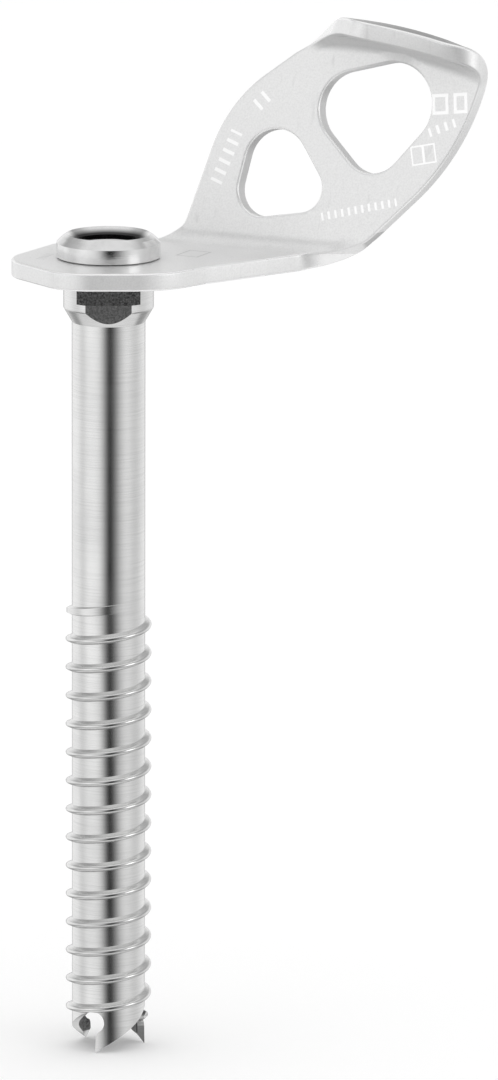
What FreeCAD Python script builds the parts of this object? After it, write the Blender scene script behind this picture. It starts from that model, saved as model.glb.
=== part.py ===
"""Tubular ice screw: a threaded tube, a bent sheet hanger keyed on its neck, and a pressed head ring.

Frame: the origin is on the tube's axis at the underside of the hanger, which is the face that ends
up against the ice.  +Z runs up the tube towards the head, +X points to the side of the carabiner
eyes, and -Y is the side that the milled wrench flats and the ear's front face look towards.
Azimuths are measured from -Y towards +X, seen from above.
"""
import FreeCAD, Part

import math
import os

from FreeCAD import Vector

# ---------------------------------------------------------------- driving dimensions, mm and degrees
USABLE_LENGTH = 170.0        # hanger underside to the tooth tips
TUBE_R = 7.9
BORE_R = 6.1

COLLAR_R = 9.7              # the bar that the tube is turned from
COLLAR_BOTTOM = -6.9
CONE_BOTTOM = -10.0
COLLAR_EDGE_ROUND = 0.6

NECK_R = 8.25
NECK_FLAT = 6.90             # axis to the flats that key the hanger
KEY_FLAT_BOTTOM = -5.2       # those flats overshoot into the collar
WRENCH_FLAT = 8.35           # axis to the shallower flats under them
KEY_CLEARANCE = 0.10

THREAD_R = 9.25
THREAD_PITCH = 6.28
THREAD_ROOT_HALF = 1.15
THREAD_CREST_HALF = 0.55
THREAD_SHOULDER_R = 8.88     # where the flank meets the rounded crest
THREAD_TOP_Z = -71.0         # crest height at the end of the run-out
THREAD_TOP_AZIMUTH = 45.0
THREAD_TURNS = 14.9
THREAD_SINK = 0.35           # how far the ridge is buried in the tube before it is fused

TOOTH_COUNT = 3
TOOTH_AZIMUTH = -21.4
TOOTH_RAKE_HEIGHT = 4.4
TOOTH_RELIEF = 0.62          # rise per millimetre of arc behind the cutting edge
TOOTH_LAND = 0.12
GULLET_R = 2.15
GULLET_HOLE_R = 2.45         # the round hole drilled at the root of each rake face
GULLET_HOLE_BACK = 3.5       # degrees from the rake face back to the hole's centre
GULLET_CENTRE_HEIGHT = 6.75
TIP_BEVEL_R = 7.8            # the bore flares to this at the tips, so that the teeth end in points
TIP_BEVEL_HEIGHT = 2.4

SHEET_T = 3.85
PLAY = 0.27                  # gap between the hanger's top face and the head ring
EAR_SWING = 27.0             # the ear's plane, turned from X towards -Y
EAR_LEAN = 11.0              # the ear leans away from the tube
EAR_BEND_R = 4.0             # inner radius
EAR_BEND_START = 21.7        # axis to the start of the bend, across the bend line
LIP_BEND_R = 4.4
LIP_BEND_ANGLE = 86.0
LIP_LINE_SLOPE = -10.1
LIP_LINE_POINT = (41.4, 69.5)

RING_R = 11.13
RING_BAND = 3.05
RING_CHAMFER = 1.14
RING_CREST_R = 9.04
RING_CREST_RISE = 0.66
RING_THROAT_R = 7.24
RING_THROAT_DROP = 0.84
RING_LIP = 1.0

# The hanger's blank, before bending.  p runs along the ear's bend line, q across it, and both are
# measured from the tube's axis along the middle of the sheet.  Each corner is (p, q, corner radius).
BLANK_CORNERS = [
    (-19.4, -11.6, 9.9),     # rounded tail of the base
    (0.5, -22.5, 11.2),      # front of the base, left
    (19.8, -12.6, 17.1),     # front of the base, right
    (23.7, -0.6, 20.0),      # shallow waist
    (35.3, 22.8, 5.0),       # the base meets the ear's lower edge in the bend
    (47.4, 28.3, 25.0),
    (70.1, 47.8, 54.0),      # long belly of the ear
    (73.6, 74.8, 5.1),       # outer corner of the lip
    (42.3, 80.9, 3.7),       # inner corner of the lip
    (32.0, 72.1, 11.5),
    (13.0, 57.4, 32.0),      # shoulder of the ear
    (5.2, 30.4, 6.0),        # the ear's inner edge meets the base
    (-2.8, 21.1, 15.0),
    (-17.9, 13.4, 10.7),     # rear of the base
]
# The eyes, in the same way, with q measured up the ear from the end of its bend.
LARGE_EYE_CORNERS = [(27.0, 32.2, 8.2), (77.1, 45.9, 9.0), (48.7, 11.3, 7.1)]
SMALL_EYE_CORNERS = [(15.9, 2.1, 5.9), (41.1, 6.4, 5.4), (21.5, 33.5, 7.4)]

# ---------------------------------------------------------------- derived
TIP_Z = -USABLE_LENGTH
RING_BOTTOM = SHEET_T + PLAY
RING_BAND_TOP = RING_BOTTOM + RING_BAND
RING_CHAMFER_TOP = RING_BAND_TOP + RING_CHAMFER
NECK_TOP = RING_CHAMFER_TOP - RING_THROAT_DROP - RING_LIP
SHEET_MIDDLE = SHEET_T / 2
EAR_BEND_ANGLE = 90.0 - EAR_LEAN
EAR_BEND_LENGTH = math.radians(EAR_BEND_ANGLE) * (EAR_BEND_R + SHEET_MIDDLE)
EAR_FOOT = EAR_BEND_START + EAR_BEND_LENGTH
FAR = 300.0
BEND_STATIONS = 16
Z_AXIS = Vector(0, 0, 1)


# ---------------------------------------------------------------- flat outlines
def rounded_polygon(corners):
    """A closed wire in the XY plane through straight sides and tangent corner arcs."""
    points = [Vector(p, q, 0) for p, q, _ in corners]
    arcs = []
    for i, (_, _, radius) in enumerate(corners):
        corner = points[i]
        back = (points[i - 1] - corner).normalize()
        ahead = (points[(i + 1) % len(points)] - corner).normalize()
        half = back.getAngle(ahead) / 2
        reach = radius / math.tan(half)
        bisector = (back + ahead).normalize()
        middle = corner + bisector * (radius / math.sin(half) - radius)
        arcs.append((corner + back * reach, middle, corner + ahead * reach))
    edges = []
    for i, (start, middle, end) in enumerate(arcs):
        edges.append(Part.Arc(start, middle, end).toShape())
        edges.append(Part.LineSegment(end, arcs[(i + 1) % len(arcs)][0]).toShape())
    return Part.Wire(edges)


def eye_face(corners):
    raised = [(p, q + EAR_FOOT, radius) for p, q, radius in corners]
    return Part.Face(rounded_polygon(raised))


# ---------------------------------------------------------------- bending the sheet
class SheetFrame:
    """Where a flat stretch of the sheet lies: its front face is origin + p * u + q * w."""

    def __init__(self, origin, u, w, normal):
        self.origin = origin
        self.u = u
        self.w = w
        self.normal = normal

    def plate(self, face):
        """The stretch of sheet over a face of the blank."""
        matrix = FreeCAD.Matrix(
            self.u.x, self.w.x, self.normal.x, self.origin.x,
            self.u.y, self.w.y, self.normal.y, self.origin.y,
            self.u.z, self.w.z, self.normal.z, self.origin.z,
            0, 0, 0, 1)
        placed = face.copy()
        placed.Placement = FreeCAD.Placement(matrix)
        return placed.extrude(self.normal * -SHEET_T)


class Bend:
    """A round bend towards the sheet's front face, along a line of the blank."""

    def __init__(self, before, point, slope, radius, angle):
        self.point = Vector(point[0], point[1], 0)
        self.along = Vector(math.cos(math.radians(slope)), math.sin(math.radians(slope)), 0)
        self.across = Vector(-self.along.y, self.along.x, 0)
        self.radius = radius
        self.angle = math.radians(angle)
        self.length = self.angle * (radius + SHEET_MIDDLE)
        self.normal = before.normal
        self.axis = before.u * self.along.x + before.w * self.along.y
        self.ahead = before.u * self.across.x + before.w * self.across.y
        self.start = before.origin + before.u * self.point.x + before.w * self.point.y

    def place(self, s, turn, depth):
        """The point at s along the bend line, turned by an angle, depth mm behind the front face."""
        r = self.radius + depth
        rise = self.radius - r * math.cos(turn)
        return self.start + self.axis * s + self.ahead * (r * math.sin(turn)) + self.normal * rise

    def after(self):
        """The frame of the flat sheet that follows the bend."""
        cos, sin = math.cos(self.angle), math.sin(self.angle)
        ahead = self.ahead * cos + self.normal * sin
        normal = self.normal * cos - self.ahead * sin
        u = self.axis * self.along.x + ahead * self.across.x
        w = self.axis * self.along.y + ahead * self.across.y
        origin = self.place(0, self.angle, 0)
        origin = origin - self.axis * self.point.dot(self.along)
        origin = origin - ahead * (self.point.dot(self.across) + self.length)
        return SheetFrame(origin, u, w, normal)

    def band(self, low, high):
        """A strip of the blank's plane, between two distances past the bend line."""
        corners = []
        for s, v in ((-FAR, low), (FAR, low), (FAR, high), (-FAR, high), (-FAR, low)):
            corners.append(self.point + self.along * s + self.across * v)
        return Part.Face(Part.makePolygon(corners))

    def sides(self, blank, v):
        """Where the blank starts and ends at v past the bend line, as distances along the line."""
        middle = self.point + self.across * v
        cut = Part.makeLine(middle - self.along * FAR, middle + self.along * FAR)
        inside = blank.common(cut)
        reach = [(vertex.Point - self.point).dot(self.along) for vertex in inside.Vertexes]
        return min(reach), max(reach)

    def solid(self, blank):
        """The bent stretch: six faces ruled between curves on the sheet's two sides."""
        curves = {}
        rows = []
        for i in range(BEND_STATIONS + 1):
            part = i / BEND_STATIONS
            rows.append((part * self.angle, self.sides(blank, part * self.length)))
        for side in (0, 1):
            for depth in (0, SHEET_T):
                spline = Part.BSplineCurve()
                spline.interpolate([self.place(ends[side], turn, depth) for turn, ends in rows])
                curves[side, depth] = spline.toShape()
        faces = [
            Part.makeRuledSurface(curves[0, 0], curves[1, 0]),
            Part.makeRuledSurface(curves[0, SHEET_T], curves[1, SHEET_T]),
            Part.makeRuledSurface(curves[0, 0], curves[0, SHEET_T]),
            Part.makeRuledSurface(curves[1, 0], curves[1, SHEET_T]),
        ]
        for turn, ends in (rows[0], rows[-1]):
            corners = [self.place(ends[0], turn, 0), self.place(ends[1], turn, 0),
                       self.place(ends[1], turn, SHEET_T), self.place(ends[0], turn, SHEET_T)]
            faces.append(Part.Face(Part.makePolygon(corners + corners[:1])))
        shell = Part.makeShell(faces)
        shell.sewShape()
        solid = Part.makeSolid(shell)
        if solid.Volume < 0:
            solid.reverse()
        return solid


def keyhole():
    """The double-D hole that takes the neck."""
    radius = NECK_R + KEY_CLEARANCE
    flat = NECK_FLAT + KEY_CLEARANCE
    hole = Part.makeCylinder(radius, 3 * SHEET_T, Vector(0, 0, -SHEET_T))
    keep = Part.makeBox(4 * radius, 2 * flat, 3 * SHEET_T, Vector(-2 * radius, -flat, -SHEET_T))
    return hole.common(keep)


def hanger():
    swing = math.radians(EAR_SWING)
    base = SheetFrame(Vector(0, 0, SHEET_T), Vector(math.cos(swing), -math.sin(swing), 0),
                      Vector(math.sin(swing), math.cos(swing), 0), Z_AXIS)
    ear_bend = Bend(base, (0, EAR_BEND_START), 0, EAR_BEND_R, EAR_BEND_ANGLE)
    ear = ear_bend.after()
    lip_bend = Bend(ear, LIP_LINE_POINT, LIP_LINE_SLOPE, LIP_BEND_R, LIP_BEND_ANGLE)
    lip = lip_bend.after()

    blank = Part.Face(rounded_polygon(BLANK_CORNERS))
    base_blank = blank.common(ear_bend.band(-FAR, 0))
    ear_blank = blank.common(ear_bend.band(ear_bend.length, FAR)).common(lip_bend.band(-FAR, 0))
    lip_blank = blank.common(lip_bend.band(lip_bend.length, FAR))
    for corners in (LARGE_EYE_CORNERS, SMALL_EYE_CORNERS):
        ear_blank = ear_blank.cut(eye_face(corners))

    pieces = [ear_bend.solid(blank), ear.plate(ear_blank), lip_bend.solid(blank), lip.plate(lip_blank)]
    whole = base.plate(base_blank).multiFuse(pieces)
    return whole.cut(keyhole()).removeSplitter()


# ---------------------------------------------------------------- threaded tube
def section(r, z):
    return Vector(r, 0, z)


def revolved(points):
    """A solid of revolution about Z from a closed profile of (radius, height) points."""
    profile = Part.makePolygon([section(r, z) for r, z in points + points[:1]])
    return Part.Face(profile).revolve(Vector(0, 0, 0), Z_AXIS, 360)


def tube_blank():
    solid = revolved([
        (BORE_R, TIP_Z), (TUBE_R, TIP_Z), (TUBE_R, CONE_BOTTOM), (COLLAR_R, COLLAR_BOTTOM),
        (COLLAR_R, 0), (NECK_R, 0), (NECK_R, NECK_TOP), (BORE_R + 0.8, NECK_TOP),
        (BORE_R, NECK_TOP - 0.8)])
    rims = [edge for edge in solid.Edges
            if abs(edge.BoundBox.XMax - COLLAR_R) < 0.01 and abs(edge.BoundBox.ZMax - COLLAR_BOTTOM) < 0.01
            and edge.BoundBox.ZLength < 0.01]
    return solid.makeFillet(COLLAR_EDGE_ROUND, rims)


def flat_cutters():
    """Two steps of milled flats, on the front and the back of the collar and neck."""
    cutters = []
    depth = COLLAR_R
    wide = 4 * COLLAR_R
    for side in (-1, 1):
        for distance, low, high in ((NECK_FLAT, KEY_FLAT_BOTTOM, RING_BOTTOM),
                                    (WRENCH_FLAT, CONE_BOTTOM - 1, KEY_FLAT_BOTTOM + 0.01)):
            y = distance if side > 0 else -distance - depth
            cutters.append(Part.makeBox(wide, depth, high - low, Vector(-wide / 2, y, low)))
    return cutters


def thread_ridge():
    """One right-hand ridge with a rounded crest, fading out at its top end."""
    height = THREAD_PITCH * THREAD_TURNS
    root_r = TUBE_R - THREAD_SINK
    helix = Part.makeHelix(THREAD_PITCH, height, TUBE_R)
    low = section(root_r, -THREAD_ROOT_HALF)
    high = section(root_r, THREAD_ROOT_HALF)
    low_shoulder = section(THREAD_SHOULDER_R, -THREAD_CREST_HALF)
    high_shoulder = section(THREAD_SHOULDER_R, THREAD_CREST_HALF)
    profile = Part.Wire([
        Part.LineSegment(low, low_shoulder).toShape(),
        Part.Arc(low_shoulder, section(THREAD_R, 0), high_shoulder).toShape(),
        Part.LineSegment(high_shoulder, high).toShape(),
        Part.LineSegment(high, low).toShape()])
    ridge = Part.Wire(helix).makePipeShell([profile], True, True)
    turned = THREAD_TOP_AZIMUTH - 90 - 360 * THREAD_TURNS
    ridge.rotate(Vector(0, 0, 0), Z_AXIS, turned)
    ridge.translate(Vector(0, 0, THREAD_TOP_Z - height))
    return ridge


def run_out(ridge):
    """Trim the ridge's last half turn with an eccentric cylinder, so that it sinks into the tube."""
    middle = (THREAD_R + TUBE_R) / 2
    offset = THREAD_R - middle
    full_height = Part.makeCylinder(2 * THREAD_R, USABLE_LENGTH,
                                    Vector(0, 0, THREAD_TOP_Z - THREAD_PITCH / 2 - USABLE_LENGTH))
    angle = math.radians(THREAD_TOP_AZIMUTH - 90 - 180)
    centre = Vector(offset * math.cos(angle), offset * math.sin(angle), -USABLE_LENGTH)
    eccentric = Part.makeCylinder(middle, USABLE_LENGTH, centre)
    return ridge.common(full_height.fuse(eccentric))


def gullet_cutter():
    """The space between one tooth's back and the next tooth's rake face, cut along radial lines."""
    pitch_arc = 2 * math.pi * TUBE_R / TOOTH_COUNT
    centre_s = pitch_arc - 0.15
    relief = math.atan(TOOTH_RELIEF)
    blend_r = 6.0
    # The gullet's roof: the relief line, a wide arc tangent to it, and the round end of the slot.
    roof = GULLET_CENTRE_HEIGHT + GULLET_R
    blend_centre_z = roof - blend_r
    start_z = blend_centre_z + blend_r * math.cos(relief)
    start_s = start_z / TOOTH_RELIEF
    blend_centre_s = start_s + blend_r * math.sin(relief)
    path = [[(TOOTH_LAND / 2, 0), (start_s, start_z)]]
    blend = []
    for i in range(7):
        turn = relief * (1 - i / 6)
        blend.append((blend_centre_s - blend_r * math.sin(turn), blend_centre_z + blend_r * math.cos(turn)))
    path.append(blend)
    path.append([blend[-1], (centre_s, roof)])
    corner_drop = GULLET_CENTRE_HEIGHT - TOOTH_RAKE_HEIGHT
    rake_s = pitch_arc - TOOTH_LAND / 2
    last = math.radians(155)
    end = []
    for i in range(13):
        turn = last * i / 12
        end.append((centre_s + GULLET_R * math.sin(turn), GULLET_CENTRE_HEIGHT + GULLET_R * math.cos(turn)))
    path.append(end)
    path.append([end[-1], (rake_s + 0.25, TOOTH_RAKE_HEIGHT - 0.25 * corner_drop)])
    path.append([path[-1][-1], (rake_s, 0)])
    below = -3.0
    path.append([(rake_s, 0), (rake_s + 0.3, below)])
    path.append([(rake_s + 0.3, below), (-0.3, below)])
    path.append([(-0.3, below), (TOOTH_LAND / 2, 0)])
    middle_angle = math.pi / TOOTH_COUNT

    def wire(distance):
        edges = []
        for run in path:
            points = []
            steps = 8 if len(run) == 2 else 1
            for (s0, z0), (s1, z1) in zip(run, run[1:]):
                for k in range(steps):
                    points.append((s0 + (s1 - s0) * k / steps, z0 + (z1 - z0) * k / steps))
            points.append(run[-1])
            spread = [Vector(distance, distance * math.tan(s / TUBE_R - middle_angle), TIP_Z + z)
                      for s, z in points]
            spline = Part.BSplineCurve()
            spline.interpolate(spread)
            edges.append(spline.toShape())
        return Part.Wire(edges)

    inner = BORE_R * math.cos(middle_angle) * 0.85
    outer = THREAD_R * 1.1
    cutter = Part.makeLoft([wire(inner), wire(outer)], True, True)
    cutter.rotate(Vector(0, 0, 0), Z_AXIS, TOOTH_AZIMUTH - 90 + math.degrees(middle_angle))
    return cutter


def gullet_hole():
    angle = math.radians(TOOTH_AZIMUTH - 90 + 360 / TOOTH_COUNT - GULLET_HOLE_BACK)
    outward = Vector(math.cos(angle), math.sin(angle), 0)
    centre = Vector(0, 0, TIP_Z + GULLET_CENTRE_HEIGHT)
    return Part.makeCylinder(GULLET_HOLE_R, 1.2 * THREAD_R, centre, outward)


def threaded_tube():
    body = tube_blank()
    body = body.cut(flat_cutters()[0])
    for cutter in flat_cutters()[1:]:
        body = body.cut(cutter)
    body = body.fuse(run_out(thread_ridge()))
    for cutter in (gullet_cutter(), gullet_hole()):
        for i in range(TOOTH_COUNT):
            turned = cutter.copy()
            turned.rotate(Vector(0, 0, 0), Z_AXIS, 360 * i / TOOTH_COUNT)
            body = body.cut(turned)
    return body.cut(Part.makeCone(TIP_BEVEL_R, BORE_R, TIP_BEVEL_HEIGHT, Vector(0, 0, TIP_Z)))


# ---------------------------------------------------------------- head ring
def head_ring():
    return revolved([
        (NECK_R, RING_BOTTOM), (RING_R, RING_BOTTOM), (RING_R, RING_BAND_TOP),
        (RING_R - RING_CHAMFER, RING_CHAMFER_TOP), (RING_CREST_R, RING_CHAMFER_TOP + RING_CREST_RISE),
        (RING_THROAT_R, RING_CHAMFER_TOP - RING_THROAT_DROP), (RING_THROAT_R, NECK_TOP),
        (NECK_R, NECK_TOP)])


def main():
    os.makedirs("parts", exist_ok=True)
    nodes = {"threaded_tube": threaded_tube, "hanger": hanger, "head_ring": head_ring}
    for name, make in nodes.items():
        shape = make()
        print(name, "valid", shape.isValid(), "solids", len(shape.Solids), "volume", round(shape.Volume, 1))
        shape.exportStep(f"parts/{name}.step")


main()
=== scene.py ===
"""Looks of the ice screw: the refined hanger sheet, the metal finishes, the studio and the camera.

The hanger is rebuilt here as a fine mesh with rounded edges: its flat blank is bent up into the ear
and over into the lip, as the CAD solid is.  The lip differs a little from the CAD solid's: its bend
line is bowed, its bend is tighter, and it rolls further over.  The blank's numbers are millimetres,
and everything handed to Blender is metres in the part's own frame.
"""
import math

import bmesh
import bpy
from mathutils import Matrix, Vector, geometry


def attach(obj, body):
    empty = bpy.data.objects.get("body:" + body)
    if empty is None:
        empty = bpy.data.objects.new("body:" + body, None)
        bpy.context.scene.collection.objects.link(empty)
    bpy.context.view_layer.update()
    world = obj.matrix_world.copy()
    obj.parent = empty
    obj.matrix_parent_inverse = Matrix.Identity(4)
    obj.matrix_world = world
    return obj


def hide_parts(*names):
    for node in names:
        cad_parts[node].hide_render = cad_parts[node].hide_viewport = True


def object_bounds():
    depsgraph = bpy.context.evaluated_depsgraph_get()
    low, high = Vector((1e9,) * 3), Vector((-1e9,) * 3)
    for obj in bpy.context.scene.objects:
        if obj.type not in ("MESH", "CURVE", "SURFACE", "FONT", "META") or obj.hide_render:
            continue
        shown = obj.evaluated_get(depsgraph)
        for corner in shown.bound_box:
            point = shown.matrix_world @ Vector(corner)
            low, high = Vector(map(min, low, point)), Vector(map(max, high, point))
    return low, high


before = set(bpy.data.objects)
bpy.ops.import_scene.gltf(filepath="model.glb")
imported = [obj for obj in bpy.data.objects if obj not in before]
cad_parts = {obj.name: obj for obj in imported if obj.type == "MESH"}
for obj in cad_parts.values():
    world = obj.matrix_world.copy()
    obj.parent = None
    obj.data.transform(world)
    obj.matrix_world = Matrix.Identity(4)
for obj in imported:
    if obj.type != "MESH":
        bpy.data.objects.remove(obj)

CAD_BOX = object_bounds()
MM = 0.001

# ---------------------------------------------------------------- the hanger's blank, mm and degrees
SHEET_T = 3.85
EDGE_R = 0.55                # rounding of every edge of the sheet
EDGE_STEPS = 4
EAR_SWING = 27.0
EAR_LEAN = 11.0
EAR_BEND_R = 4.0
EAR_BEND_START = 21.7
LIP_POINT = (41.4, 70.2)     # a point on the lip's bend line, on the blank
LIP_SLOPE = -8.1
LIP_BEND_R = 3.95
LIP_ANGLE = 101.0
LIP_ANGLE_GAIN = 14.0        # the lip rolls further over towards its outer end
LIP_GAIN_REACH = 1.5         # past this many reaches from the bow's centre the angle stays the same
LIP_BOW = 1.2                # the bend line is bowed: one reach from its centre it drops by this much
LIP_BOW_CENTRE = 12.9
LIP_BOW_REACH = 16.0
BLANK_CORNERS = [            # corners of the flat outline, with the radius that rounds each
    (-19.4, -11.6, 9.9), (0.5, -22.5, 11.2), (19.8, -12.6, 17.1), (23.7, -0.6, 20.0),
    (35.3, 22.8, 5.0), (47.4, 28.3, 25.0), (69.2, 50.6, 52.0), (74.2, 75.2, 10.0),
    (47.0, 84.4, 5.3), (31.3, 71.4, 9.1), (13.0, 57.4, 32.0), (5.2, 30.4, 6.0),
    (-2.8, 21.1, 15.0), (-17.9, 13.4, 10.7),
]
# corners of the two eyes, measured up the ear from its foot
LARGE_EYE_CORNERS = [(27.0, 32.2, 8.2), (77.1, 45.9, 9.0), (48.7, 11.3, 7.1)]
SMALL_EYE_CORNERS = [(15.9, 2.1, 5.9), (41.1, 6.4, 5.4), (21.5, 33.5, 7.4)]
KEY_R = 8.35                 # the double-D hole that the neck passes through
KEY_FLAT = 7.0

# ---------------------------------------------------------------- mesh spacing, mm
OUTLINE_STEP = 0.7
GRID_STEP = 1.5
BEND_GRID_STEP = 0.6         # between rows of points across a bend
LIP_GRID_STEP = 1.0          # between points along a row of the lip
LIP_GRID_START = 58.0        # the lip's fine rows start here, below its bend
GRID_LOW = (-25.0, -24.0)    # the grid covers the blank's outline with room to spare
GRID_HIGH = (85.0, 90.0)

SHEET_MIDDLE = SHEET_T / 2
EAR_ANGLE = math.radians(90 - EAR_LEAN)
EAR_FOOT = EAR_BEND_START + EAR_ANGLE * (EAR_BEND_R + SHEET_MIDDLE)


# ---------------------------------------------------------------- flat outlines
def arc_points(centre, radius, start, sweep):
    steps = max(4, math.ceil(abs(sweep) * radius / OUTLINE_STEP))
    return [centre + radius * Vector((math.cos(start + sweep * i / steps),
                                      math.sin(start + sweep * i / steps))) for i in range(steps + 1)]


def rounded_polygon(corners):
    """Points along a closed outline of straight sides and tangent corner arcs."""
    points = [Vector((p, q)) for p, q, _ in corners]
    outline = []
    for i, (_, _, radius) in enumerate(corners):
        corner = points[i]
        back = (points[i - 1] - corner).normalized()
        ahead = (points[(i + 1) % len(points)] - corner).normalized()
        half = back.angle(ahead) / 2
        centre = corner + (back + ahead).normalized() * (radius / math.sin(half))
        start = corner + back * (radius / math.tan(half)) - centre
        end = corner + ahead * (radius / math.tan(half)) - centre
        first = math.atan2(start.y, start.x)
        sweep = (math.atan2(end.y, end.x) - first + math.pi) % (2 * math.pi) - math.pi
        outline += arc_points(centre, radius, first, sweep)
    return with_even_sides(outline)


def with_even_sides(outline):
    even = []
    for i, point in enumerate(outline):
        before = outline[i - 1]
        steps = max(1, math.ceil((point - before).length / OUTLINE_STEP))
        even += [before.lerp(point, (k + 1) / steps) for k in range(steps)]
    return even


def key_outline():
    """The double-D hole, with its flats across the Y axis of the part."""
    half = math.asin(KEY_FLAT / KEY_R)
    turn = math.radians(EAR_SWING)
    outline = arc_points(Vector((0, 0)), KEY_R, turn - half, 2 * half)
    outline += arc_points(Vector((0, 0)), KEY_R, turn + math.pi - half, 2 * half)
    return with_even_sides(outline)


def material_side(outline, inwards):
    """The direction from each outline point into the sheet."""
    area = sum(a.cross(b) for a, b in zip(outline, outline[1:] + outline[:1]))
    flip = 1 if (area > 0) == inwards else -1
    sides = []
    for i, point in enumerate(outline):
        along = (outline[(i + 1) % len(outline)] - outline[i - 1]).normalized()
        sides.append(flip * Vector((-along.y, along.x)))
    return sides


def is_inside(outline, point):
    inside = False
    for a, b in zip(outline, outline[1:] + outline[:1]):
        if (a.y > point.y) != (b.y > point.y):
            if point.x < a.x + (b.x - a.x) * (point.y - a.y) / (b.y - a.y):
                inside = not inside
    return inside


# ---------------------------------------------------------------- bending
def part_axes():
    swing = math.radians(EAR_SWING)
    u = Vector((math.cos(swing), -math.sin(swing), 0))
    out = Vector((math.sin(swing), math.cos(swing), 0))
    return u, out, Vector((0, 0, 1))


U, OUT, UP = part_axes()
EAR_W = OUT * math.cos(EAR_ANGLE) + UP * math.sin(EAR_ANGLE)
EAR_N = U.cross(EAR_W)
EAR_ORIGIN = OUT * (EAR_BEND_START + EAR_BEND_R * math.sin(EAR_ANGLE))
EAR_ORIGIN = EAR_ORIGIN + UP * (SHEET_T + EAR_BEND_R * (1 - math.cos(EAR_ANGLE)))


def lip_coordinates(p, q):
    """Distances along and past the lip's bowed bend line, and the lip's full angle there."""
    slope = math.radians(LIP_SLOPE)
    along = Vector((math.cos(slope), math.sin(slope)))
    offset = Vector((p - LIP_POINT[0], q - LIP_POINT[1]))
    s = offset.dot(along)
    reach = (s - LIP_BOW_CENTRE) / LIP_BOW_REACH
    bow = -LIP_BOW * reach * reach
    past = along.x * offset.y - along.y * offset.x - bow
    gain = max(-LIP_GAIN_REACH, min(LIP_GAIN_REACH, reach))
    angle = math.radians(LIP_ANGLE + LIP_ANGLE_GAIN * gain)
    return s, past, bow, angle


def bent(p, q, depth):
    """Where a point of the blank ends up, depth mm behind the sheet's front face."""
    if q <= EAR_BEND_START:
        return U * p + OUT * q + UP * (SHEET_T - depth)
    if q <= EAR_FOOT:
        turn = (q - EAR_BEND_START) / (EAR_BEND_R + SHEET_MIDDLE)
        r = EAR_BEND_R + depth
        return (U * p + OUT * (EAR_BEND_START + r * math.sin(turn))
                + UP * (SHEET_T + EAR_BEND_R - r * math.cos(turn)))
    s, past, bow, angle = lip_coordinates(p, q)
    if past <= 0:
        return EAR_ORIGIN + U * p + EAR_W * (q - EAR_FOOT) - EAR_N * depth
    slope = math.radians(LIP_SLOPE)
    along = U * math.cos(slope) + EAR_W * math.sin(slope)
    ahead = EAR_W * math.cos(slope) - U * math.sin(slope)
    start = EAR_ORIGIN + U * LIP_POINT[0] + EAR_W * (LIP_POINT[1] - EAR_FOOT) + along * s + ahead * bow
    turn = min(past / (LIP_BEND_R + SHEET_MIDDLE), angle)
    flat = max(0.0, past - angle * (LIP_BEND_R + SHEET_MIDDLE))
    r = LIP_BEND_R + depth
    forward = LIP_BEND_R - r * math.cos(turn) + flat * math.sin(turn)
    return start + ahead * (r * math.sin(turn) + flat * math.cos(turn)) + EAR_N * forward


# ---------------------------------------------------------------- hanger mesh
def edge_profile():
    """(inset, depth) pairs round the sheet's edge, from its front face to its back face."""
    front = []
    for i in range(EDGE_STEPS + 1):
        turn = math.pi / 2 * i / EDGE_STEPS
        front.append((EDGE_R * (1 - math.sin(turn)), EDGE_R * (1 - math.cos(turn))))
    middle = [(0.0, SHEET_MIDDLE)]
    back = [(inset, SHEET_T - depth) for inset, depth in reversed(front)]
    return front + middle + back


def grid_points():
    """Points over the whole blank: coarse on the flat stretches and fine across the two bends."""
    row = 0
    q = GRID_LOW[1]
    while q < GRID_HIGH[1]:
        in_ear_bend = EAR_BEND_START - 1 < q < EAR_FOOT + 1
        in_lip = q > LIP_GRID_START
        step = LIP_GRID_STEP if in_lip else GRID_STEP
        stagger = 0.5 * (row % 2)
        for i in range(int((GRID_HIGH[0] - GRID_LOW[0]) / step)):
            yield Vector((GRID_LOW[0] + (i + stagger) * step, q))
        row += 1
        q += BEND_GRID_STEP if in_ear_bend or in_lip else GRID_STEP


def cell_of(point):
    return math.floor(point.x), math.floor(point.y)


def is_near(taken, point):
    """Whether a 1 mm cell at or beside the point already holds an outline point."""
    column, row = cell_of(point)
    return any((column + i, row + j) in taken for i in (-1, 0, 1) for j in (-1, 0, 1))


def hanger_loops():
    """The closed outlines of the blank and its three holes, and whether each is the outer one."""
    loops = [(rounded_polygon(BLANK_CORNERS), True), (key_outline(), False)]
    for corners in (LARGE_EYE_CORNERS, SMALL_EYE_CORNERS):
        loops.append((rounded_polygon([(p, q + EAR_FOOT, r) for p, q, r in corners]), False))
    return loops


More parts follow.
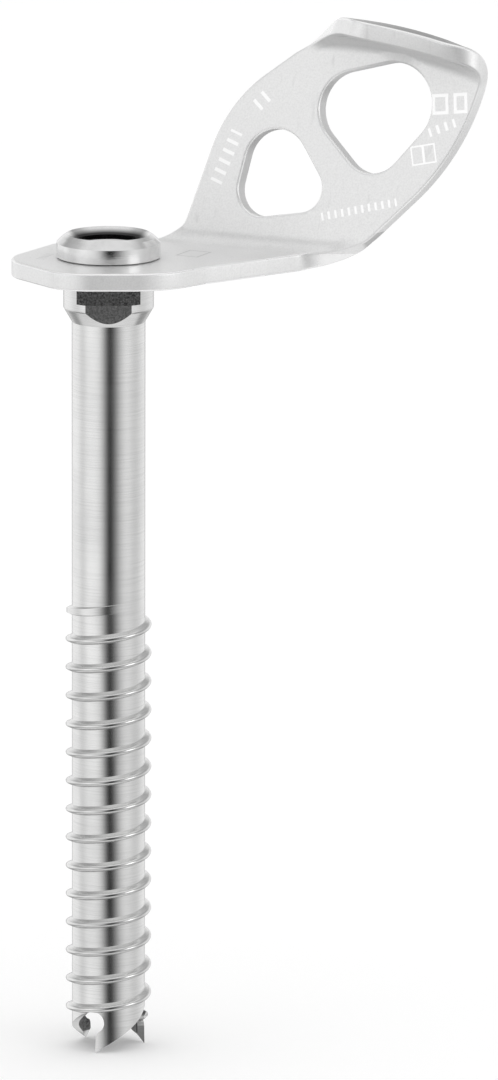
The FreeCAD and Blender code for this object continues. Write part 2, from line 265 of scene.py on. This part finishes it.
class Sheet:
    """The bent sheet's vertices and faces, built edge by edge and then across both faces."""

    def __init__(self):
        self.verts = []
        self.faces = []
        self.flat_points = []       # points of the blank that the front and back faces use
        self.front_index = []
        self.back_index = []
        self.constraints = []
        self.rims = []

    def add_vertex(self, p, q, depth):
        self.verts.append(bent(p, q, depth) * MM)
        return len(self.verts) - 1

    def add_edge(self, outline, is_outer):
        """The rounded edge along one outline, from the front face to the back face."""
        sides = material_side(outline, is_outer)
        rings = []
        for inset, depth in edge_profile():
            flats = [point + side * inset for point, side in zip(outline, sides)]
            rings.append([self.add_vertex(flat.x, flat.y, depth) for flat in flats])
        for upper, lower in zip(rings, rings[1:]):
            for i in range(len(upper)):
                self.faces.append((upper[i - 1], upper[i], lower[i], lower[i - 1]))
        rim = [point + side * EDGE_R for point, side in zip(outline, sides)]
        first = len(self.flat_points)
        self.constraints += [(first + i, first + (i + 1) % len(rim)) for i in range(len(rim))]
        self.flat_points += rim
        self.front_index += rings[0]
        self.back_index += rings[-1]
        self.rims.append(rim)

    def has_metal_at(self, point):
        outer, *holes = self.rims
        return is_inside(outer, point) and not any(is_inside(hole, point) for hole in holes)

    def add_inner_points(self):
        taken = {cell_of(point) for point in self.flat_points}
        for point in grid_points():
            if self.has_metal_at(point) and not is_near(taken, point):
                self.flat_points.append(point)
                self.front_index.append(self.add_vertex(point.x, point.y, 0.0))
                self.back_index.append(self.add_vertex(point.x, point.y, SHEET_T))

    def add_front_and_back(self):
        triangulation = geometry.delaunay_2d_cdt(self.flat_points, self.constraints, [], 0, 1e-6)
        for triangle in triangulation[2]:
            middle = sum((self.flat_points[i] for i in triangle), Vector((0, 0))) / 3
            if self.has_metal_at(middle):
                self.faces.append(tuple(self.front_index[i] for i in triangle))
                self.faces.append(tuple(self.back_index[i] for i in reversed(triangle)))


def hanger_mesh():
    sheet = Sheet()
    for outline, is_outer in hanger_loops():
        sheet.add_edge(outline, is_outer)
    sheet.add_inner_points()
    sheet.add_front_and_back()
    mesh = bpy.data.meshes.new("hanger_sheet")
    mesh.from_pydata(sheet.verts, [], sheet.faces)
    mesh.validate()
    return mesh


def point_faces_outwards(mesh):
    work = bmesh.new()
    work.from_mesh(mesh)
    bmesh.ops.recalc_face_normals(work, faces=work.faces)
    work.to_mesh(mesh)
    work.free()


def make_hanger(material):
    mesh = hanger_mesh()
    point_faces_outwards(mesh)
    mesh.shade_smooth()
    mesh.materials.append(material)
    sheet = bpy.data.objects.new("hanger_sheet", mesh)
    bpy.context.collection.objects.link(sheet)
    sheet.modifiers.new("even_normals", "WEIGHTED_NORMAL").weight = 90
    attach(sheet, "root")
    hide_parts("hanger")


# ---------------------------------------------------------------- materials, mm where they are places
WHITE = (1.0, 1.0, 1.0)
BEND_START = 4.2             # heights of the bend at the ear's foot
EAR_START = 9.0              # height from which the ear's masks count
EAR_FADE = (38.0, 44.0)      # heights over which they fade out, below the lip
# heights over which the painted shade under the lip fades in
LIP_PAINTED_SHADE_SPAN = (41.0, 45.0)
LIP_BROW = (46.0, 48.0)      # heights over which the lip's own masks fade in
# heights over which the painted dark reflection on the lip's top fades in
LIP_DARK_REFLECTION_SPAN = (47.0, 50.0)
EYES_END = (60.0, 66.0)      # the painted shade in the eyes fades out over this stretch along the ear
EYES_OVER_EDGE = -43.0       # and ends on a 45 degree line above the ear's lower right edge
NEAR_FACE = 0.15             # how close to a face a point counts as on it
BORE_R = 6.4                 # the tube's inside, with a little room
MILLED_BOTTOM = -9.5         # no flats are milled below this height
MILLED_FLAT = 6.6            # both pairs of milled flats lie further than this from the axis
OUTER_FLAT = 7.6             # and only the lighter, shallower pair further than this
RING_SHADE = (7.6, 8.6)      # radius over which the ring's throat fades from dark to bright
TICK_SHARE = 0.17            # half a tick's width, as a share of the pitch


def grey(value):
    return value, value, value


class Nodes:
    """A material's node tree, with short calls for the nodes that every finish here uses."""

    def __init__(self, name):
        self.material = bpy.data.materials.new(name)
        self.material.use_nodes = True
        self.tree = self.material.node_tree
        self.shader = self.tree.nodes["Principled BSDF"]
        self.place = self.add("ShaderNodeTexCoord").outputs["Object"]

    def add(self, kind, **values):
        node = self.tree.nodes.new(kind)
        for key, value in values.items():
            setattr(node, key, value)
        return node

    def link(self, source, target):
        self.tree.links.new(source, target)

    def scaled(self, scale):
        node = self.add("ShaderNodeMapping")
        self.link(self.place, node.inputs["Vector"])
        node.inputs["Scale"].default_value = scale
        return node.outputs["Vector"]

    def noise(self, scale, detail=3.0, roughness=0.5):
        """Noise with its own scale along each axis, in cells per metre."""
        node = self.add("ShaderNodeTexNoise")
        self.link(self.scaled(scale), node.inputs["Vector"])
        node.inputs["Scale"].default_value = 1.0
        node.inputs["Detail"].default_value = detail
        node.inputs["Roughness"].default_value = roughness
        return node.outputs["Fac"]

    def remap(self, value, low, high, to_low, to_high):
        node = self.add("ShaderNodeMapRange")
        self.link(value, node.inputs["Value"])
        for name, number in (("From Min", low), ("From Max", high), ("To Min", to_low), ("To Max", to_high)):
            node.inputs[name].default_value = number
        return node.outputs["Result"]

    def math(self, operation, first, second=0.0):
        node = self.add("ShaderNodeMath", operation=operation)
        for socket, value in zip(node.inputs, (first, second)):
            if isinstance(value, (int, float)):
                socket.default_value = value
            else:
                self.link(value, socket)
        return node.outputs["Value"]

    def along(self, axis, origin=(0, 0, 0)):
        """Distance of the shaded point from an origin along an axis of the part, in mm."""
        node = self.add("ShaderNodeVectorMath", operation="DOT_PRODUCT")
        self.link(self.place, node.inputs[0])
        node.inputs[1].default_value = tuple(value / MM for value in axis)
        return self.math("SUBTRACT", node.outputs["Value"], Vector(origin).dot(Vector(axis)))

    def radius(self):
        """Distance of the shaded point from the Z axis, in mm."""
        x = self.along((1, 0, 0))
        y = self.along((0, 1, 0))
        return self.math("SQRT", self.math("ADD", self.math("MULTIPLY", x, x), self.math("MULTIPLY", y, y)))

    def height(self):
        """Height of the shaded point in the part's frame, in mm."""
        return self.along((0, 0, 1))

    def rising(self, value, span):
        """0 below a span of values, 1 above it."""
        return self.remap(value, *span, 0.0, 1.0)

    def falling(self, value, span):
        return self.remap(value, *span, 1.0, 0.0)

    def all_of(self, *masks):
        total = masks[0]
        for mask in masks[1:]:
            total = self.math("MULTIPLY", total, mask)
        return total

    def within(self, value, limit):
        return self.math("LESS_THAN", self.math("ABSOLUTE", value), limit)

    def turned_pair(self, across, up, centre, angle):
        """Coordinates measured from a centre on a flat face, turned by an angle in degrees."""
        c, s = math.cos(math.radians(angle)), math.sin(math.radians(angle))
        left = self.math("SUBTRACT", across, centre[0])
        high = self.math("SUBTRACT", up, centre[1])
        run = self.math("ADD", self.math("MULTIPLY", left, c), self.math("MULTIPLY", high, s))
        rise = self.math("SUBTRACT", self.math("MULTIPLY", high, c), self.math("MULTIPLY", left, s))
        return run, rise

    def box(self, run, rise, length, height):
        return self.all_of(self.within(run, length / 2), self.within(rise, height / 2))

    def tick_row(self, across, up, centre, angle, length, height, pitch):
        """1 inside a row of short plain ticks on a flat face, 0 elsewhere."""
        run, rise = self.turned_pair(across, up, centre, angle)
        from_tick = self.math("PINGPONG", self.math("ADD", run, length / 2), pitch / 2)
        tick = self.math("LESS_THAN", from_tick, pitch * TICK_SHARE)
        return self.all_of(self.box(run, rise, length + pitch / 4, height), tick)

    def frame_mark(self, across, up, centre, angle, length, height, line):
        """1 on the outline of a plain rectangle, 0 elsewhere."""
        run, rise = self.turned_pair(across, up, centre, angle)
        inner = self.box(run, rise, length - 2 * line, height - 2 * line)
        return self.math("SUBTRACT", self.box(run, rise, length, height), inner)

    def either(self, *masks):
        total = masks[0]
        for mask in masks[1:]:
            total = self.math("MAXIMUM", total, mask)
        return total

    def facing(self, kind="True Normal"):
        """The x, y and z of the surface's direction, flat or smoothed."""
        node = self.add("ShaderNodeNewGeometry")
        split = self.add("ShaderNodeSeparateXYZ")
        self.link(node.outputs[kind], split.inputs["Vector"])
        return split.outputs

    def blend(self, amount, first, second):
        node = self.add("ShaderNodeMix", data_type="RGBA")
        self.link(amount, node.inputs["Factor"])
        for name, value in (("A_Color", first), ("B_Color", second)):
            socket = next(s for s in node.inputs if s.identifier == name)
            if isinstance(value, tuple):
                socket.default_value = (*value, 1.0)
            else:
                self.link(value, socket)
        return next(s for s in node.outputs if s.identifier == "Result_Color")

    def bump(self, height, distance, strength=1.0, below=None):
        node = self.add("ShaderNodeBump")
        self.link(height, node.inputs["Height"])
        node.inputs["Distance"].default_value = distance
        node.inputs["Strength"].default_value = strength
        if below is not None:
            self.link(below, node.inputs["Normal"])
        return node.outputs["Normal"]

    def finish(self, color, roughness, normal, metallic=None):
        """Wires the finish into the shader: bare metal, unless a metallic map is given."""
        self.link(color, self.shader.inputs["Base Color"])
        self.link(roughness, self.shader.inputs["Roughness"])
        self.link(normal, self.shader.inputs["Normal"])
        self.shader.inputs["Metallic"].default_value = 1.0
        if metallic is not None:
            self.link(metallic, self.shader.inputs["Metallic"])
        return self.material


def etched_marks(n):
    """Plain ticks and frames where a maker would mark the ear's front face and the base's top.

    Each mark has its centre, its turn in degrees, its length and height, and a pitch or line width.
    """
    p = n.along(U)
    h = n.along(EAR_W, EAR_ORIGIN)
    on_ear = n.all_of(n.within(n.along(EAR_N, EAR_ORIGIN), NEAR_FACE), n.math("GREATER_THAN", h, 0.0))
    ear = n.either(
        n.tick_row(p, h, (13.9, 15.5), 70.5, 11.4, 2.9, 2.3),
        n.tick_row(p, h, (21.2, 28.2), 49, 2.6, 2.9, 2.6),
        n.frame_mark(p, h, (63.3, 30.6), 7, 3.8, 4.4, 0.7),
        n.frame_mark(p, h, (68.0, 31.2), 7, 3.2, 4.4, 0.7),
        n.tick_row(p, h, (64.2, 25.6), 24, 6.0, 1.9, 2.0),
        n.frame_mark(p, h, (60.4, 19.6), 13, 5.8, 4.2, 0.35),
        n.tick_row(p, h, (60.4, 19.6), 13, 0.1, 4.2, 2.0),
        n.tick_row(p, h, (46.4, 6.7), 14.6, 17.6, 1.7, 1.6),
    )
    x = n.along((1, 0, 0))
    y = n.along((0, 1, 0))
    on_base = n.within(n.math("SUBTRACT", n.height(), SHEET_T), NEAR_FACE)
    base = n.either(
        n.frame_mark(x, y, (18.2, 4.0), -27, 5.4, 7.0, 0.5),
        n.tick_row(x, y, (-13.6, 0.6), 70, 6.0, 1.8, 1.5),
    )
    return n.all_of(ear, on_ear), n.all_of(base, on_base)


def ear_facing(n):
    """How far the surface faces the same way as the ear's front: 1 on it, -1 on its back."""
    node = n.add("ShaderNodeVectorMath", operation="DOT_PRODUCT")
    n.link(n.add("ShaderNodeNewGeometry").outputs["Normal"], node.inputs[0])
    node.inputs[1].default_value = tuple(EAR_N)
    return node.outputs["Value"]


def worn_and_highlit_edges(n, on_ear):
    """The rounded edges of the base, of the ear and of the lip's front: worn bright by handling, and painted
    white as a highlight.
    """
    facing_ear = ear_facing(n)
    facing_up = n.facing("Normal")[2]
    on_base = n.math("LESS_THAN", n.height(), SHEET_T + 0.05)
    on_lip = n.rising(n.height(), LIP_BROW)
    masks = []
    for facing, place in ((facing_ear, on_ear), (facing_up, on_base)):
        tilt = n.math("ABSOLUTE", facing)
        masks.append(n.all_of(n.rising(tilt, (0.15, 0.45)), n.falling(tilt, (0.80, 0.97)), place))
    masks.append(n.all_of(n.rising(facing_ear, (0.25, 0.45)), n.rising(facing_up, (0.30, 0.50)), on_lip))
    return n.either(*masks)


def painted_shade_on_cut_faces(n, on_ear):
    """Painted shade on the walls of the eyes and of the bend at the ear's foot."""
    height = n.height()
    on_bend = n.all_of(n.math("GREATER_THAN", height, BEND_START), n.math("LESS_THAN", height, EAR_START))
    over_edge = n.math("SUBTRACT", n.along(EAR_W, EAR_ORIGIN), n.along(U))
    in_eyes = n.all_of(n.math("GREATER_THAN", over_edge, EYES_OVER_EDGE), n.falling(n.along(U), EYES_END))
    tilt = n.math("ABSOLUTE", ear_facing(n))
    return n.all_of(n.falling(tilt, (0.08, 0.16)), n.either(on_bend, n.all_of(in_eyes, on_ear)))


def satin_sheet():
    """Tumbled satin metal with a fine grain, faint clouds, scuffs and pale etched marks; its rounded edges
    are worn bright and carry a painted highlight, the lip's top carries a painted dark reflection, and
    painted shade lies under the lip and on the cut faces.
    """
    n = Nodes("satin_sheet")
    grain = n.noise(grey(2600), 2.0)
    clouds = n.noise(grey(55), 4.0)
    scuffs = n.noise((700, 700, 90), 3.0)
    facing_up = n.facing("Normal")[2]
    on_ear = n.all_of(n.math("GREATER_THAN", n.height(), EAR_START), n.falling(n.height(), EAR_FADE))
    # painted dark reflection: the lip's upward-facing top is painted dark grey
    painted_dark_lip_top = n.all_of(n.rising(n.height(), LIP_DARK_REFLECTION_SPAN), n.rising(facing_up, (0.74, 0.92)))
    # painted shade on the downward-facing surfaces under the lip's bend
    painted_shade_under_lip = n.all_of(n.falling(facing_up, (-0.35, 0.12)), n.rising(n.height(), LIP_PAINTED_SHADE_SPAN))
    edges = worn_and_highlit_edges(n, on_ear)
    ear_marks, base_marks = etched_marks(n)
    color = n.blend(n.rising(clouds, (0.3, 0.7)), grey(0.85), (0.91, 0.91, 0.908))
    color = n.blend(n.remap(grain, 0.35, 0.75, 0.0, 0.35), color, grey(0.66))
    color = n.blend(n.remap(scuffs, 0.62, 0.8, 0.0, 0.4), color, grey(0.60))
    # paints the dark reflection on the lip's top
    color = n.blend(painted_dark_lip_top, color, grey(0.36))
    # darkens the underside of the lip: painted shade
    color = n.blend(n.math("MULTIPLY", painted_shade_under_lip, 0.6), color, grey(0.46))
    # painted shade on the walls of the eyes and of the bend at the ear's foot
    color = n.blend(n.math("MULTIPLY", painted_shade_on_cut_faces(n, on_ear), 0.75), color, grey(0.52))
    # whitens the rounded edges: partly real wear, partly a painted highlight
    color = n.blend(n.math("MULTIPLY", edges, 0.85), color, WHITE)
    color = n.blend(ear_marks, color, WHITE)
    color = n.blend(n.math("MULTIPLY", base_marks, 0.5), color, grey(0.45))
    roughness = n.remap(clouds, 0.3, 0.7, 0.32, 0.42)
    roughness = n.math("SUBTRACT", roughness, n.math("MULTIPLY", edges, 0.12))
    roughness = n.math("MAXIMUM", roughness, n.math("MULTIPLY", ear_marks, 0.75))
    normal = n.bump(grain, 0.00004, 0.6)
    metallic = n.math("MULTIPLY", n.math("SUBTRACT", 1.0, ear_marks), 0.5)
    return n.finish(color, roughness, normal, metallic)


def polished_ring():
    """Polished steel with faint turning lines and wear, dark down its throat."""
    n = Nodes("polished_ring")
    wear = n.noise(grey(420), 4.0)
    turned = n.noise((120, 120, 6500), 2.0)
    color = n.blend(n.remap(wear, 0.4, 0.8, 0.0, 0.5), grey(0.88), grey(0.72))
    color = n.blend(n.falling(n.radius(), RING_SHADE), color, grey(0.06))
    roughness = n.remap(wear, 0.3, 0.75, 0.10, 0.22)
    normal = n.bump(turned, 0.00002, 0.35)
    return n.finish(color, roughness, normal)


def turned_tube():
    """Bright turned steel; the milled flats and the bore are darker and rough."""
    n = Nodes("turned_tube")
    grain = n.noise(grey(2300), 3.0, 0.65)
    streaks = n.noise((90, 90, 5200), 3.0)
    clouds = n.noise((140, 140, 60), 4.0)
    from_axis = n.math("ABSOLUTE", n.along((0, 1, 0)))
    is_flat = n.math("GREATER_THAN", n.math("ABSOLUTE", n.facing()[1]), 0.9995)
    near_head = n.math("GREATER_THAN", n.height(), MILLED_BOTTOM)
    flats = n.all_of(is_flat, near_head, n.math("GREATER_THAN", from_axis, MILLED_FLAT))
    rough_part = n.either(flats, n.math("LESS_THAN", n.radius(), BORE_R))
    outer_flat = n.math("GREATER_THAN", from_axis, OUTER_FLAT)
    bright = n.blend(n.remap(clouds, 0.35, 0.7, 0.0, 0.6), (0.90, 0.90, 0.895), grey(0.78))
    bright = n.blend(n.remap(streaks, 0.45, 0.8, 0.0, 0.4), bright, grey(0.62))
    dark = n.blend(n.rising(grain, (0.35, 0.65)), grey(0.07), grey(0.30))
    dark = n.blend(n.math("MULTIPLY", outer_flat, 0.22), dark, grey(0.55))
    color = n.blend(rough_part, bright, dark)
    shiny = n.remap(clouds, 0.3, 0.7, 0.16, 0.26)
    roughness = n.math("MAXIMUM", shiny, n.math("MULTIPLY", rough_part, 0.55))
    turned = n.bump(streaks, 0.000012, 0.5)
    normal = n.bump(n.math("MULTIPLY", grain, rough_part), 0.00012, 0.8, turned)
    return n.finish(color, roughness, normal)


def dress(node, material):
    """Gives a CAD node its finish."""
    for slot in bpy.data.objects[node].material_slots:
        slot.material = material


# ---------------------------------------------------------------- studio
# Lights seen in reflections, by compass angle in degrees from -Y towards +X: an even ring, a little
# weaker on the right, with a dark gap where the front is open and a shallow dip at each side.
RING_LEVEL = 0.90
RING_LEAN = 0.045
GAP_ANGLE = 4.0
GAP_DEPTH = 0.98
GAP_LEFT_WIDTH = 24.5
GAP_RIGHT_WIDTH = 33.0
SIDE_DIPS = [(-90.0, 16.0, 0.22), (93.0, 26.0, 0.23)]       # angle, width, depth
STEEP = (0.45, 0.80)         # over this rise or fall the compass angle stops mattering
LOW_BACK = (0.86, 0.97)      # straight behind and below, the light is half as strong
UPWARD_STOPS = [
    # height of the light on a unit sphere, 0 below to 1 above, and its strength
    (0.00, 0.75), (0.13, 0.72), (0.18, 0.34), (0.23, 0.40), (0.30, 0.75), (0.38, 1.00),
    (0.60, 1.00), (0.68, 0.80), (0.76, 0.42), (0.86, 0.50), (0.95, 0.78), (1.00, 0.80),
]
FLOOR_REACH = 6.0            # metres, like the light's size and the camera's place
LIGHT_SIZE = 0.8
CAMERA_PLACE = (0.0027, -2.0, 0.3713)
CAMERA_LENS = 317.0
CAMERA_SHIFT = -0.2
CAMERA_TURN = -0.784         # degrees, like the pitch and the roll
CAMERA_PITCH = -10.813
CAMERA_ROLL = 0.174


def fill_ramp(ramp, stops):
    ramp.interpolation = "EASE"
    ramp.elements[0].position, ramp.elements[1].position = stops[0][0], stops[-1][0]
    for position, _ in stops[1:-1]:
        ramp.elements.new(position)
    for element, (_, value) in zip(ramp.elements, stops):
        element.color = (value, value, value, 1)


def studio_world():
    """White to the camera; reflections see soft boxes at the sides with a dark gap at the front."""
    world = bpy.data.worlds.new("studio")
    bpy.context.scene.world = world
    world.use_nodes = True
    tree = world.node_tree
    link = tree.links.new

    def add(kind, **values):
        node = tree.nodes.new(kind)
        for key, value in values.items():
            setattr(node, key, value)
        return node

    def calc(operation, *values):
        node = add("ShaderNodeMath", operation=operation)
        for socket, value in zip(node.inputs, values):
            if isinstance(value, float):
                socket.default_value = value
            else:
                link(value, socket)
        return node.outputs[0]

    def remap(value, low, high, to_low, to_high):
        node = add("ShaderNodeMapRange")
        for socket, number in zip(node.inputs[1:5], (low, high, to_low, to_high)):
            socket.default_value = number
        link(value, node.inputs[0])
        return node.outputs[0]

    def bell(angle, centre, width):
        offset = calc("DIVIDE", calc("SUBTRACT", angle, centre), width)
        return calc("EXPONENT", calc("MULTIPLY", calc("MULTIPLY", offset, offset), -1.0))

    def without(light, shade, depth):
        return calc("MULTIPLY", light, calc("SUBTRACT", 1.0, calc("MULTIPLY", shade, depth)))

    def ramp(value, stops):
        node = add("ShaderNodeValToRGB")
        fill_ramp(node.color_ramp, stops)
        link(value, node.inputs["Fac"])
        return node.outputs["Color"]

    split = add("ShaderNodeSeparateXYZ")
    link(add("ShaderNodeTexCoord").outputs["Generated"], split.inputs["Vector"])
    x, y, z = split.outputs
    angle = calc("DEGREES", calc("ARCTAN2", x, calc("MULTIPLY", y, -1.0)))
    around = calc("SUBTRACT", RING_LEVEL, calc("MULTIPLY", x, RING_LEAN))
    is_right = calc("GREATER_THAN", angle, GAP_ANGLE)
    gap_width = remap(is_right, 0.0, 1.0, GAP_LEFT_WIDTH, GAP_RIGHT_WIDTH)
    around = without(around, bell(angle, GAP_ANGLE, gap_width), GAP_DEPTH)
    for dip_angle, width, depth in SIDE_DIPS:
        around = without(around, bell(angle, dip_angle, width), depth)
    steep = remap(calc("ABSOLUTE", z), *STEEP, 0.0, 1.0)
    around = calc("ADD", calc("MULTIPLY", around, calc("SUBTRACT", 1.0, steep)), steep)
    strength = calc("MULTIPLY", around, ramp(remap(z, -1.0, 1.0, 0.0, 1.0), UPWARD_STOPS))
    low_back = calc("MULTIPLY", remap(y, *LOW_BACK, 0.0, 0.5), calc("LESS_THAN", z, -0.05))
    strength = calc("MULTIPLY", strength, calc("SUBTRACT", 1.0, low_back))
    reflected = add("ShaderNodeBackground")
    plain = add("ShaderNodeBackground")
    link(strength, reflected.inputs["Strength"])
    for background in (reflected, plain):
        background.inputs["Color"].default_value = (*WHITE, 1.0)
    mix = add("ShaderNodeMixShader")
    link(add("ShaderNodeLightPath").outputs["Is Glossy Ray"], mix.inputs["Fac"])
    link(plain.outputs[0], mix.inputs[1])
    link(reflected.outputs[0], mix.inputs[2])
    link(mix.outputs[0], tree.nodes["World Output"].inputs["Surface"])
    bpy.context.scene.view_settings.view_transform = "Standard"


def floor():
    """A pale matt floor under the tooth tips, which reflections pass by."""
    lowest = CAD_BOX[0][2]
    mesh = bpy.data.meshes.new("floor")
    corners = [(i * FLOOR_REACH, j * FLOOR_REACH, lowest) for i, j in ((-1, -1), (1, -1), (1, 1), (-1, 1))]
    mesh.from_pydata(corners, [], [(0, 1, 2, 3)])
    pale = bpy.data.materials.new("pale_floor")
    pale.use_nodes = True
    shader = pale.node_tree.nodes["Principled BSDF"]
    shader.inputs["Base Color"].default_value = (*WHITE, 1.0)
    shader.inputs["Roughness"].default_value = 1.0
    shader.inputs["Specular IOR Level"].default_value = 0.0
    mesh.materials.append(pale)
    obj = bpy.data.objects.new("floor", mesh)
    bpy.context.collection.objects.link(obj)
    obj.visible_glossy = False


def soft_light(name, place, power):
    """A wide lamp aimed at the part's middle; only its diffuse light counts."""
    data = bpy.data.lights.new(name, "AREA")
    data.shape = "DISK"
    data.size = LIGHT_SIZE
    data.energy = power
    data.specular_factor = 0.0
    obj = bpy.data.objects.new(name, data)
    bpy.context.collection.objects.link(obj)
    obj.location = place
    obj.rotation_mode = "QUATERNION"
    target = (Vector(CAD_BOX[0]) + Vector(CAD_BOX[1])) / 2
    obj.rotation_quaternion = (target - Vector(place)).to_track_quat("-Z", "Y")


def camera():
    """A long lens in front of the part, placed to match the photo's view."""
    data = bpy.data.cameras.new("camera")
    data.sensor_width = 36.0
    data.lens = CAMERA_LENS
    data.shift_y = CAMERA_SHIFT
    data.clip_start = 0.1
    data.clip_end = 20.0
    obj = bpy.data.objects.new("camera", data)
    bpy.context.collection.objects.link(obj)
    obj.location = CAMERA_PLACE
    turn = Matrix.Rotation(math.radians(CAMERA_TURN), 4, "Z")
    pitch = Matrix.Rotation(math.radians(90 + CAMERA_PITCH), 4, "X")
    roll = Matrix.Rotation(math.radians(CAMERA_ROLL), 4, "Z")
    obj.rotation_mode = "QUATERNION"
    obj.rotation_quaternion = (turn @ pitch @ roll).to_quaternion()
    bpy.context.scene.camera = obj


camera()
studio_world()
floor()
soft_light("left_light", (-1.3, -0.7, 0.5), 0.3)
soft_light("right_light", (1.3, -0.8, 0.3), 1.8)
make_hanger(satin_sheet())
dress("threaded_tube", turned_tube())
dress("head_ring", polished_ring())
